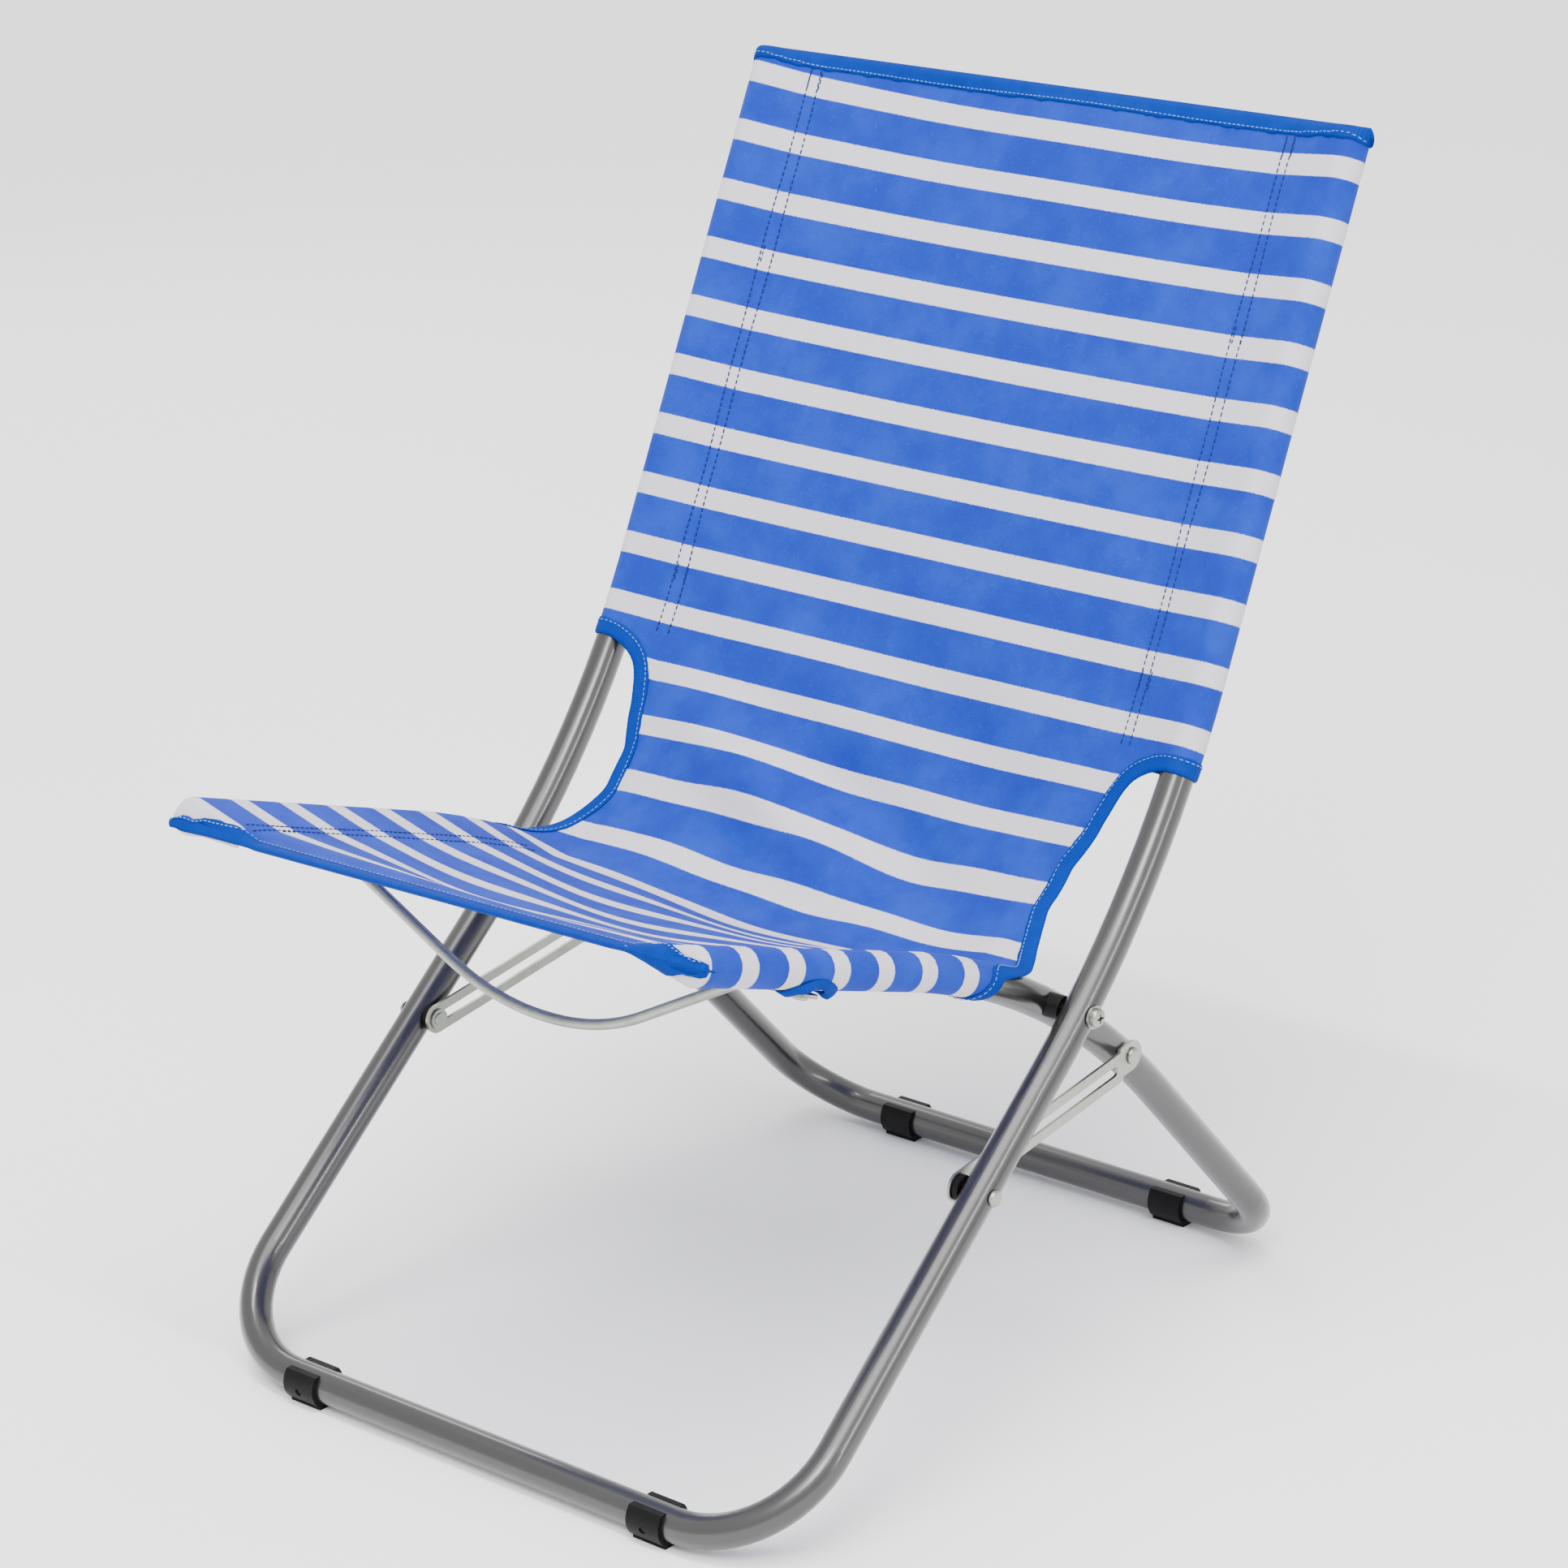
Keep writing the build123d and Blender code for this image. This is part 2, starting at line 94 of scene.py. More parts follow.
# %% [markdown]
# ## Working by hand, from code
#
# Every operator acts on what is selected, so each step starts by selecting nothing. A finished piece sits
# at the origin with its place in its mesh, so that patterns stay put.

# %% Selection helpers


def select_only(*objects):
    """Selects just these, with the first one active, or nothing at all."""
    if bpy.context.object and bpy.context.object.mode != "OBJECT":
        bpy.ops.object.mode_set(mode="OBJECT")
    bpy.ops.object.select_all(action="DESELECT")
    for o in objects:
        o.select_set(True)
    if objects:
        bpy.context.view_layer.objects.active = objects[0]


def mesh_piece(name, verts, faces, uvs=None, smooth=True):
    """A new object from points and faces, with cloth coordinates as its UV map."""
    mesh = bpy.data.meshes.new(name)
    mesh.from_pydata([tuple(v) for v in verts], [], faces)
    if uvs is not None:
        layer = mesh.uv_layers.new(name="cloth")
        flat = [c for poly in mesh.polygons for i in poly.vertices for c in uvs[i]]
        layer.data.foreach_set("uv", flat)
    for poly in mesh.polygons:
        poly.use_smooth = smooth
    mesh.validate()
    o = bpy.data.objects.new(name, mesh)
    bpy.context.scene.collection.objects.link(o)
    return o


def apply_modifiers(o):
    select_only(o)
    for m in list(o.modifiers):
        bpy.ops.object.modifier_apply(modifier=m.name)


print("helpers ready")

# %% [markdown]
# ## Shader maths as sums
#
# A finish is a tree of nodes. Writing it with plus and times signs keeps it readable, so one small
# class wraps a socket and adds a Math node for each sign, and one method makes every other node.

# %% A class for finishes


class Value:
    """A socket of a finish, which can be added, subtracted, multiplied and so on."""

    def __init__(self, finish, socket):
        self.finish = finish
        self.socket = socket

    def _math(self, operation, a, b=None):
        return self.finish.node("ShaderNodeMath", {"operation": operation}, {0: a, 1: b})

    def __add__(self, other):
        return self._math("ADD", self, other)

    def __sub__(self, other):
        return self._math("SUBTRACT", self, other)

    def __rsub__(self, other):
        return self._math("SUBTRACT", other, self)

    def __mul__(self, other):
        return self._math("MULTIPLY", self, other)

    def wrap(self, size):
        return self._math("FLOORED_MODULO", self, size)

    def sine(self):
        return self._math("SINE", self)

    def step(self, low, high):
        """0 below low, 1 above high, and smooth between."""
        inputs = {"Value": self, "From Min": low, "From Max": high}
        return self.finish.node("ShaderNodeMapRange", {"interpolation_type": "SMOOTHSTEP"}, inputs)


class Finish:
    """A material with a Principled shader, built node by node."""

    def __init__(self, name, **constants):
        self.material = bpy.data.materials.new(name)
        self.material.use_nodes = True
        self.tree = self.material.node_tree
        self.shader = self.tree.nodes["Principled BSDF"]
        for socket, value in constants.items():
            self.set(socket.replace("_", " "), value)

    def set(self, socket, value):
        self._feed(self.shader.inputs[socket], value)

    def _feed(self, socket, value):
        if isinstance(value, Value):
            self.tree.links.new(value.socket, socket)
        elif value is not None:
            if hasattr(value, "__len__") and len(value) == 3 and socket.type == "RGBA":
                value = (*value, 1.0)
            socket.default_value = value

    def node(self, kind, settings=None, inputs=None, out=0):
        n = self.tree.nodes.new(kind)
        for key, value in (settings or {}).items():
            setattr(n, key, value)
        for key, value in (inputs or {}).items():
            self._feed(n.inputs[key], value)
        return Value(self, n.outputs[out])

    def place(self):
        return self.node("ShaderNodeTexCoord", out="Object")

    def cloth(self):
        """The two cloth coordinates, across and along, in metres."""
        uv = self.node("ShaderNodeUVMap", {"uv_map": "cloth"})
        return [self.node("ShaderNodeSeparateXYZ", None, {0: uv}, i) for i in (0, 1)]

    def noise(self, scale, detail=2.0, rough=0.5):
        inputs = {"Vector": self.place(), "Scale": scale, "Detail": detail, "Roughness": rough}
        return self.node("ShaderNodeTexNoise", None, inputs, 0)

    def mix(self, factor, a, b):
        """Colour a where factor is 0, b where it is 1."""
        n = self.tree.nodes.new("ShaderNodeMix")
        n.data_type = "RGBA"
        self._feed(n.inputs[0], factor)
        self._feed(n.inputs[6], a)
        self._feed(n.inputs[7], b)
        return Value(self, n.outputs[2])

    def bump(self, height, strength, distance):
        inputs = {"Strength": strength, "Distance": distance, "Height": height}
        self.set("Normal", self.node("ShaderNodeBump", None, inputs))


print("finishes can be written as sums")

# %% [markdown]
# ## Silver grey paint
#
# The tubes have a satin silver paint: fine metal flakes in a grey lacquer. A mostly metallic shader
# under a clear coat gives the long soft highlights. Noise at two sizes varies the roughness, as
# handling does, and a very fine noise in the bump stands for the flakes.

# %% Frame paint
paint = Finish("frame_paint_silver", Metallic=0.9, Coat_Weight=0.55, Coat_Roughness=0.13)
flake = paint.noise(2600.0, 1.0)
cloud = paint.noise(9.0, 3.0)
scuff = paint.noise(70.0, 6.0, rough=0.7).step(0.6, 0.78)
paint.set("Base Color", paint.mix(cloud * 0.35 + flake * 0.3, (0.056, 0.055, 0.055), (0.090, 0.088, 0.088)))
paint.set("Roughness", cloud * 0.1 + flake * 0.07 + scuff * 0.08 + 0.22)
paint.bump(flake + cloud * 4.0, 0.05, 0.0004)
print("paint", paint.material.name)

# %% [markdown]
# ## Zinc plate
#
# Links, rivets, screws, washers and the spreader are zinc plated: bright, a little yellow green, with
# a faint crystal pattern and drawn lines. A Voronoi pattern shifts the colour from crystal to crystal.

# %% Zinc
zinc = Finish("zinc_plate", Metallic=1.0)
crystal = zinc.node("ShaderNodeTexVoronoi", None, {"Vector": zinc.place(), "Scale": 420.0}, "Color")
grain = zinc.noise(260.0, 4.0)
stain = zinc.noise(38.0, 4.0).step(0.45, 0.75)
zinc_base = zinc.mix(grain, (0.27, 0.285, 0.25), (0.37, 0.385, 0.335))
zinc_base = zinc.mix(stain * 0.35, zinc_base, (0.19, 0.19, 0.155))
crystal_grey = zinc.node("ShaderNodeSeparateColor", None, {0: crystal}, 0)
zinc.set("Base Color", zinc.mix(crystal_grey * 0.18, zinc_base, (0.46, 0.47, 0.43)))
zinc.set("Roughness", grain * 0.14 + stain * 0.1 + 0.26)
zinc.bump(grain + crystal_grey * 0.3, 0.12, 0.0002)
print("zinc", zinc.material.name)

# %% [markdown]
# ## Black moulded plastic
#
# Foot clips, spacers, bushes and end caps are black plastic with a fine spark-eroded grain. It is never
# pure black: dust lightens it a little and the grain breaks up the gloss.

# %% Plastic
plastic = Finish("black_moulded_plastic", Specular_IOR_Level=0.12)
pebble = plastic.noise(1500.0, 2.0)
dust = plastic.noise(60.0, 5.0).step(0.52, 0.8)
plastic.set("Base Color", plastic.mix(dust * 0.4, (0.003, 0.003, 0.0033), (0.018, 0.017, 0.016)))
plastic.set("Roughness", pebble * 0.18 + dust * 0.12 + 0.40)
plastic.bump(pebble, 0.25, 0.0002)
print("plastic", plastic.material.name)

# %% [markdown]
# ## Striped sling cloth
#
# The cloth is woven polyester, printed with blue stripes on white. The stripes follow the cloth and
# not the room, so they read the cloth coordinates: how far along the cut a point lies, in metres. The
# print edge wanders by a thread or two, the blue is slightly uneven, and a plain weave gives the bump.

# %% Cloth finish
STRIPE_START, STRIPE_PERIOD, STRIPE_WHITE = 0.0135, 0.0416, 0.0143
cloth = Finish("sling_cloth_striped", Sheen_Weight=0.02, Sheen_Roughness=0.45, Specular_IOR_Level=0.12)
across, along = cloth.cloth()
THREAD_PITCH = 0.0011
warp = (across * (2 * math.pi / THREAD_PITCH)).sine()
weft = (along * (2 * math.pi / THREAD_PITCH)).sine()
weave = warp * weft
wobble = (cloth.noise(900.0, 1.0) - 0.5) * 0.0009
phase = (along + wobble - STRIPE_START).wrap(STRIPE_PERIOD)
EDGE = 0.0004
blue_begins = phase.step(STRIPE_WHITE - EDGE, STRIPE_WHITE + EDGE)
blue_mask = blue_begins * (1 - phase.step(STRIPE_PERIOD - 2 * EDGE, STRIPE_PERIOD))
mottle = cloth.noise(28.0, 5.0, rough=0.6)
fleck = cloth.noise(420.0, 3.0, rough=0.7)
blue = cloth.mix(mottle.step(0.3, 0.75), (0.003, 0.023, 0.300), (0.008, 0.043, 0.370))
blue = cloth.mix(fleck.step(0.55, 0.8) * 0.3, blue, (0.030, 0.10, 0.50))
white = cloth.mix(fleck, (0.51, 0.49, 0.53), (0.57, 0.55, 0.59))
dye = cloth.mix(blue_mask, white, blue)
cloth.set("Base Color", cloth.mix((weave * 0.5 + 0.5) * 0.14, dye, (0.01, 0.015, 0.05)))
cloth.set("Roughness", mottle * 0.12 + 0.68)
cloth.bump(weave * 0.5 + fleck * 0.4, 0.35, 0.0003)
print("stripes every", STRIPE_PERIOD, "m")

# %% [markdown]
# ## Binding tape and thread
#
# The raw edges of the cloth are bound in royal blue tape, folded over the edge and sewn. The tape has
# fine ribs across it. The thread is a slightly darker blue with its own twist.

# %% Tape and thread finishes
tape = Finish("binding_tape_blue", Specular_IOR_Level=0.06)
tape_across, tape_along = tape.cloth()
RIB_PITCH, EDGE_RIB_PITCH = 0.0016, 0.0012
rib = (tape_along * (2 * math.pi / RIB_PITCH)).sine()
edge_rib = (tape_across * (2 * math.pi / EDGE_RIB_PITCH)).sine()
tape_tone = tape.noise(110.0, 4.0)
tape_base = tape.mix(tape_tone, (0.0, 0.019, 0.19), (0.0, 0.032, 0.27))
tape.set("Base Color", tape.mix((rib * 0.5 + 0.5) * 0.3, tape_base, (0.0, 0.012, 0.14)))
tape.set("Roughness", tape_tone * 0.15 + 0.6)
tape.bump(rib * 0.6 + edge_rib * 0.2, 0.5, 0.0003)

thread = Finish("sewing_thread_blue", Roughness=0.6, Specular_IOR_Level=0.2)
twist = thread.noise(1800.0, 2.0)
thread.set("Base Color", thread.mix(twist, (0.002, 0.005, 0.055), (0.008, 0.016, 0.11)))
thread.bump(twist, 0.4, 0.0002)

pale_thread = Finish("tape_thread_pale", Roughness=0.6, Sheen_Weight=0.2)
pale_twist = pale_thread.noise(1800.0, 2.0)
pale_thread.set("Base Color", pale_thread.mix(pale_twist, (0.02, 0.10, 0.44), (0.08, 0.20, 0.58)))
pale_thread.bump(pale_twist, 0.4, 0.0002)
print("tape and two threads")

# %% [markdown]
# ## Finishes on the CAD pieces
#
# The shapes of the metal and plastic pieces are right as they are, so they only take a finish.

# %% Give the CAD pieces their finishes
PAINTED = ("outer_frame", "inner_frame")
PLASTIC = ("cap_", "foot_", "pivot_spacer", "guide_bush")
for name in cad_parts:
    o = bpy.data.objects[name]
    finish = paint if name in PAINTED else plastic if name.startswith(PLASTIC) else zinc
    o.data.materials.clear()
    o.data.materials.append(finish.material)
print(len(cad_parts), "CAD pieces finished")

# %% [markdown]
# ## How the sling is cut
#
# The sling is one piece of cloth. It is wide at the back and at the seat, where its sides wrap round
# the tubes as sleeves, and it has a bound cut-out on each side between them, where the tubes cross.
# Its flat width and length are two cloth coordinates. The rows below run along the cloth, from the
# top hem over the back, the slack crook and the seat to the front hem.

# %% Rows and widths of the cut
HEM = 0.0075
CAP_END = 0.0029
BACK_ROWS_END = 0.412 + HEM
SEAT_SLEEVE = 0.280
WRAP_R = TUBE_R + 0.0009
SEAM_IN = 0.048
SEAM_OUT = 0.0010
ROW = 0.0045


def crook_curve(t):
    """Side view of the slack cloth between back and seat, t from 0 to 1."""
    qa, da = side_point(OUTER, BACK_ROWS_END - HEM)
    qb, db = side_point(INNER, SEAT_SLEEVE)
    grid = np.array([[da[0], -db[0]], [da[1], -db[1]]])
    k = np.linalg.solve(grid, qb - qa)
    corner = qa + da * k[0]
    p = (1 - t) ** 2 * qa + 2 * t * (1 - t) * corner + t * t * qb
    d = 2 * (1 - t) * (corner - qa) + 2 * t * (qb - corner)
    return p, d / np.linalg.norm(d)


CROOK_STEPS = np.linspace(0, 1, 200)
crook_points = np.array([crook_curve(t)[0] for t in CROOK_STEPS])
crook_run = np.concatenate([[0], np.cumsum(np.linalg.norm(np.diff(crook_points, axis=0), axis=1))])
CROOK_LEN = float(crook_run[-1])
SEAT_ROWS_START = BACK_ROWS_END + CROOK_LEN
CLOTH_LEN = SEAT_ROWS_START + SEAT_SLEEVE + HEM
print("cloth length", round(CLOTH_LEN, 4), "of which slack crook", round(CROOK_LEN, 4))

# half width of the cut in the crook, at lengths below the back sleeve
CUT = [(0.0, 0.2300), (0.006, 0.2150), (0.014, 0.2075), (0.024, 0.2030), (0.042, 0.1985), (0.075, 0.1885),
       (0.105, 0.1860), (0.130, 0.1925), (0.150, 0.2040), (0.170, 0.2140), (CROOK_LEN, 0.2200)]


def smooth(x, low, high):
    t = min(1.0, max(0.0, (x - low) / (high - low)))
    return t * t * (3 - 2 * t)


def half_width(v):
    """Half width of the cloth that is not sleeve, at length v, with the wavy edge of a sewn cut-out."""
    if v <= BACK_ROWS_END:
        return CUT[0][1]
    if v >= SEAT_ROWS_START:
        return CUT[-1][1]
    wavy = smooth(v, BACK_ROWS_END + 0.02, BACK_ROWS_END + 0.05)
    wavy = wavy * (1 - smooth(v, SEAT_ROWS_START - 0.05, SEAT_ROWS_START))
    plain = float(np.interp(v - BACK_ROWS_END, [c[0] for c in CUT], [c[1] for c in CUT]))
    return plain + wavy * 0.0007 * math.sin(v * 175) + wavy * 0.0004 * math.sin(v * 391)


# %% [markdown]
# ## From the flat cut to the chair
#
# Each point of the flat cloth has a place on the chair. On a sleeved row the cloth leaves its seam,
# rises to the tube, turns round it and comes back underneath to the same seam. At the two hems the
# upper and under layers close over the tube ends and meet in one line, which the tape binds. The slack
# comes on top: the seat and the back sag between their seams, and the crook carries soft folds.

# %% The section of a sleeve
FLAP_GAP = 0.0022
seam_reach = math.hypot(SEAM_IN, SEAM_OUT)
seam_lean = math.pi - math.atan2(SEAM_OUT, SEAM_IN)
tangent = math.acos(WRAP_R / seam_reach)
TOP_ANGLE = seam_lean - tangent
LOW_ANGLE = seam_lean + tangent - 2 * math.pi
SEAM = np.array([-SEAM_IN, SEAM_OUT])
FLAP = np.array([-SEAM_IN, SEAM_OUT - FLAP_GAP])
TOP = WRAP_R * np.array([math.cos(TOP_ANGLE), math.sin(TOP_ANGLE)])
LOW = WRAP_R * np.array([math.cos(LOW_ANGLE), math.sin(LOW_ANGLE)])
RISE = float(np.linalg.norm(TOP - SEAM))
ARC = WRAP_R * (TOP_ANGLE - LOW_ANGLE)
RETURN = float(np.linalg.norm(FLAP - LOW))


def sleeve_edge(half):
    """Flat half width of a sleeved row, out to the edge of its flap."""
    return half - SEAM_IN + RISE + ARC + RETURN


def sleeve_side(half, angle=0.0):
    """Cloth coordinate at an angle round the tube, where 0 is its outer side and 90 degrees its top."""
    return half - SEAM_IN + RISE + WRAP_R * (TOP_ANGLE - angle)


def section(b, half):
    """Across and outward place of cloth coordinate b on a sleeved row."""
    past = b - (half - SEAM_IN)
    if past <= 0:
        return b, SEAM_OUT
    if past <= RISE:
        p = SEAM + (TOP - SEAM) * past / RISE
    elif past <= RISE + ARC:
        angle = TOP_ANGLE - (past - RISE) / WRAP_R
        p = WRAP_R * np.array([math.cos(angle), math.sin(angle)])
    else:
        p = LOW + (FLAP - LOW) * min(1.0, (past - RISE - ARC) / RETURN)
    return half + p[0], p[1]


SQUARE = 2.4
HANG, HANG_REACH = 0.004, 0.03


def open_share(v):
    """1 where the sleeve is round, falling to 0 where its two layers meet at a hem."""
    depth = max(0.0, min(v, CLOTH_LEN - v))
    if depth >= HEM - CAP_END:
        return 1.0
    return (1 - (1 - depth / (HEM - CAP_END)) ** SQUARE) ** (1 / SQUARE)


def hem_drop(a, v, half):
    """How far the front hem hangs below the line of its tubes, more at its -X end than at its +X end."""
    depth = CLOTH_LEN - v
    if depth > HANG_REACH:
        return 0.0
    over_tube = smooth(abs(a), half - 0.062, half - 0.040)
    share = over_tube * (1 - open_share(v)) + (1 - over_tube) * (1 - smooth(depth, 0.0, HANG_REACH))
    return -HANG * (1 - a / half) * share


print("sleeve wraps", round(math.degrees(TOP_ANGLE - LOW_ANGLE)), "degrees")
print("sleeve cloth", round(RISE + ARC + RETURN, 4))

# %% Slack and folds
LAYER = 0.0005
LAYER_FULL = 0.0012
BACK_SAG, SEAT_SAG = 0.005, 0.013
FOLD_ACROSS, FOLD_ALONG, FOLD_SLOPE = -0.131, 0.466, 0.49
FOLD_HEIGHT, FOLD_LENGTH, FOLD_REACH = 0.0105, 0.105, 0.058


def slack(a, v, flat):
    """How far the cloth stands off its taut place, towards the sitter."""
    free = max(0.0, 1 - (a / flat) ** 2)
    bell_back = smooth(v, 0.01, 0.25) * (1 - smooth(v, BACK_ROWS_END, SEAT_ROWS_START))
    bell_seat = smooth(v, BACK_ROWS_END + 0.05, SEAT_ROWS_START + 0.08)
    bell_seat = bell_seat * (1 - smooth(v, CLOTH_LEN - 0.11, CLOTH_LEN))
    lift = -BACK_SAG * bell_back * free - SEAT_SAG * bell_seat * free
    # puckers below the top hem
    pucker = smooth(v, 0.0, 0.012) * (1 - smooth(v, 0.05, 0.16))
    lift += 0.0026 * math.sin(a * 26 + 0.7) * free * pucker
    # the crook swings from side to side, with one diagonal fold across it
    sway = math.exp(-(((v - 0.50) / 0.085) ** 2)) * free**0.6
    lift -= 0.013 * math.sin(math.pi * (a / 0.21) * 0.95 + 0.25) * sway
    ridge = (v - FOLD_ALONG - FOLD_SLOPE * (a - FOLD_ACROSS)) / 1.11
    crest = math.cos(2 * math.pi * ridge / FOLD_LENGTH) * math.exp(-((ridge / FOLD_REACH) ** 2))
    lift += FOLD_HEIGHT * crest * free**0.5 * sway
    # small creases in the crook, and faint ones over back and seat
    lift += 0.0022 * math.sin(a * 62 + v * 38) * math.exp(-(((v - 0.52) / 0.06) ** 2)) * free
    faint = smooth(v, 0.25, 0.4) * (1 - smooth(v, CLOTH_LEN - 0.1, CLOTH_LEN))
    lift += 0.0014 * math.sin(a * 31 - v * 55 + 1.1) * free * faint
    return lift


def cloth_frame(a, v):
    """Across, outward, and the side-view point and normal under cloth coordinates (a, v)."""
    b = abs(a)
    if v <= BACK_ROWS_END:
        p, d = side_point(OUTER, v - HEM)
        x, out = section(b, OUTER["half"])
        flat = OUTER["half"] - SEAM_IN
    elif v >= SEAT_ROWS_START:
        p, d = side_point(INNER, CLOTH_LEN - HEM - v)
        d = -d
        x, out = section(b, INNER["half"])
        flat = INNER["half"] - SEAM_IN
    else:
        t = float(np.interp(v - BACK_ROWS_END, crook_run, CROOK_STEPS))
        p, d = crook_curve(t)
        above, below = 1 - smooth(t, 0.0, 0.45), smooth(t, 0.6, 1.0)
        x_back, out_back = section(b, OUTER["half"])
        x_seat, out_seat = section(b, INNER["half"])
        x = b + (x_back - b) * above + (x_seat - b) * below
        out = SEAM_OUT + (out_back - SEAM_OUT) * above + (out_seat - SEAM_OUT) * below
        flat = OUTER["half"] + (INNER["half"] - OUTER["half"]) * t - SEAM_IN
    k = open_share(v)
    side = max(-1.0, min(1.0, out / LAYER_FULL))
    out = out * k + LAYER * (1 - k) * side
    n = np.array([d[1], -d[0]])
    p = p + n * (slack(a, v, flat) + hem_drop(a, v, INNER["half"]))
    return x, out, p, n


def cloth_place(a, v):
    """The point of the chair where cloth coordinates (a, v) lie."""
    x, out, p, n = cloth_frame(a, v)
    spot = p + n * out
    return Vector((-x if a < 0 else x, spot[0], spot[1]))


print("seat sag at its middle", round(slack(0.0, SEAT_ROWS_START + 0.13, 0.158), 4))

# %% [markdown]
# ## The printed stripes
#
# The stripes are printed square to the cloth, but weaving, printing and sewing pull them a little. So
# the print has its own coordinate along the cloth, which lags and leads by some millimetres.

# %% Where the print lies
DRIFT = [(0.0, 0.0103), (0.07, 0.0058), (0.13, 0.0040), (0.20, 0.0028), (0.36, 0.0018), (0.42, 0.0003),
         (0.50, -0.0055), (0.60, 0.0070), (0.90, 0.0155)]
BACK_FADE, TOP_FADE = 0.42, 0.10


def print_drift(a, v):
    """How much later a stripe comes here than an even print would have it."""
    middle = float(np.interp(v, [d[0] for d in DRIFT], [d[1] for d in DRIFT]))
    fade = max(0.0, 1 - v / BACK_FADE)
    top = max(0.0, 1 - v / TOP_FADE)
    skew = fade * (0.013 * a - 0.068 * a * a) + top * (0.008 * a - 0.047 * a * a)
    return middle + skew + (1 - fade) * 0.010 * a * a


# %% [markdown]
# ## The cloth as one mesh
#
# The mesh is a grid in cloth coordinates. The middle block runs the whole length, and a block for each
# sleeve is joined to it along the tubes. The rows crowd together at the hems, where the sleeves close.
# A Solidify modifier gives the sheet the thickness of the cloth.

# %% Build the sling
random.seed(7)
COLS = 92
WRAP_COLS = 34
CLOSING_ROWS = 12
SEAT_END_SLANT = 0.024
closing_turns = [math.pi / 2 * (1 - i / CLOSING_ROWS) for i in range(CLOSING_ROWS + 1)]
closing = [(HEM - CAP_END) * (1 - math.sin(turn) ** (2 / SQUARE)) for turn in closing_turns]


def even_rows(start, stop):
    count = max(1, round((stop - start) / ROW))
    return [start + (stop - start) * (i + 1) / count for i in range(count)]


rows = closing + even_rows(closing[-1], BACK_ROWS_END) + even_rows(BACK_ROWS_END, SEAT_ROWS_START)
rows += even_rows(SEAT_ROWS_START, CLOTH_LEN - closing[-1])
rows += [CLOTH_LEN - c for c in reversed(closing[:-1])]
LAST_BACK = min(range(len(rows)), key=lambda i: abs(rows[i] - BACK_ROWS_END))
FIRST_SEAT = min(range(len(rows)), key=lambda i: abs(rows[i] - SEAT_ROWS_START))
LAST_ROW = len(rows) - 1


def sleeved(i):
    return i <= LAST_BACK or i >= FIRST_SEAT


def seat_end(b):
    """How far the rear end of the seat sleeve is cut back at cloth coordinate b."""
    return SEAT_END_SLANT * smooth(b, CUT[-1][1], CUT[-1][1] + 0.040)


grid = {}
verts, flat_places, faces = [], [], []


def add_point(key, a, v):
    grid[key] = len(verts)
    verts.append(cloth_place(a, v))
    flat_places.append([a, v])


for i, v in enumerate(rows):
    wide = half_width(v)
    for j in range(COLS + 1):
        add_point((i, "m", j), -wide + 2 * wide * j / COLS, v)
    if sleeved(i):
        edge = sleeve_edge((OUTER if i <= LAST_BACK else INNER)["half"])
        for side in (-1, 1):
            for k in range(1, WRAP_COLS + 1):
                b = wide + (edge - wide) * k / WRAP_COLS
                near_end = 1 - smooth(v, SEAT_ROWS_START, SEAT_ROWS_START + 0.07)
                back_off = seat_end(b) * near_end if i >= FIRST_SEAT else 0
                add_point((i, side, k), side * b, v + back_off)
            grid[(i, side, 0)] = grid[(i, "m", COLS if side > 0 else 0)]
for i in range(LAST_ROW):
    for j in range(COLS):
        corners = [(i, "m", j), (i, "m", j + 1), (i + 1, "m", j + 1), (i + 1, "m", j)]
        faces.append(tuple(grid[c] for c in corners))
    if sleeved(i) and sleeved(i + 1) and i != LAST_BACK:
        for side in (-1, 1):
            for k in range(WRAP_COLS):
                corners = [(i, side, k), (i, side, k + 1), (i + 1, side, k + 1), (i + 1, side, k)]
                quad = tuple(grid[c] for c in corners)
                faces.append(quad if side > 0 else quad[::-1])

# over the tube ends the cloth is longer than its rows say, so its flat length is measured there
for first, step in ((CLOSING_ROWS, -1), (LAST_ROW - CLOSING_ROWS, 1)):
    for i in range(first + step, first + step * (CLOSING_ROWS + 1), step):
        for key in [k for k in grid if k[0] == i]:
            here, before = grid[key], grid[(i - step, *key[1:])]
            if key[1] == "m" or key[2] > 0:
                flat_places[here][1] = flat_places[before][1] + step * (verts[here] - verts[before]).length


def flat_area():
    """Area of the flat cut, from the cloth coordinates."""
    total = 0.0
    for f in faces:
        pts = [flat_places[i] for i in f]
        total += abs(sum(p[0] * q[1] - q[0] * p[1] for p, q in zip(pts, pts[1:] + pts[:1]))) / 2
    return total


CLOTH_AREA = flat_area()
CLOTH_WIDE = 2 * sleeve_edge(OUTER["half"])
CLOTH_CUT = max(p[1] for p in flat_places) - min(p[1] for p in flat_places)
uvs = [(a, v - print_drift(a, v)) for a, v in flat_places]
sling = mesh_piece("sling", verts, [f[::-1] for f in faces], uvs)
solid = sling.modifiers.new("thickness", "SOLIDIFY")
solid.thickness = 0.0007
solid.offset = 0.0
apply_modifiers(sling)
sling.data.materials.append(cloth.material)
print("sling", len(sling.data.polygons), "faces")
print("flat", round(CLOTH_WIDE, 4), "by", round(CLOTH_CUT, 4), "area", round(CLOTH_AREA, 4))

# %% [markdown]
# ## Edge lines of the cut
#
# The tape and its stitches follow the edge of the cloth. Each edge is a chain of cloth coordinates
# with the direction that points into the cloth, rounded where the edge turns a corner.

# %% Chains along the edges
TAPE_WIDE = 0.0095
TAPE_T = 0.0011
TAPE_STEP = 0.0035


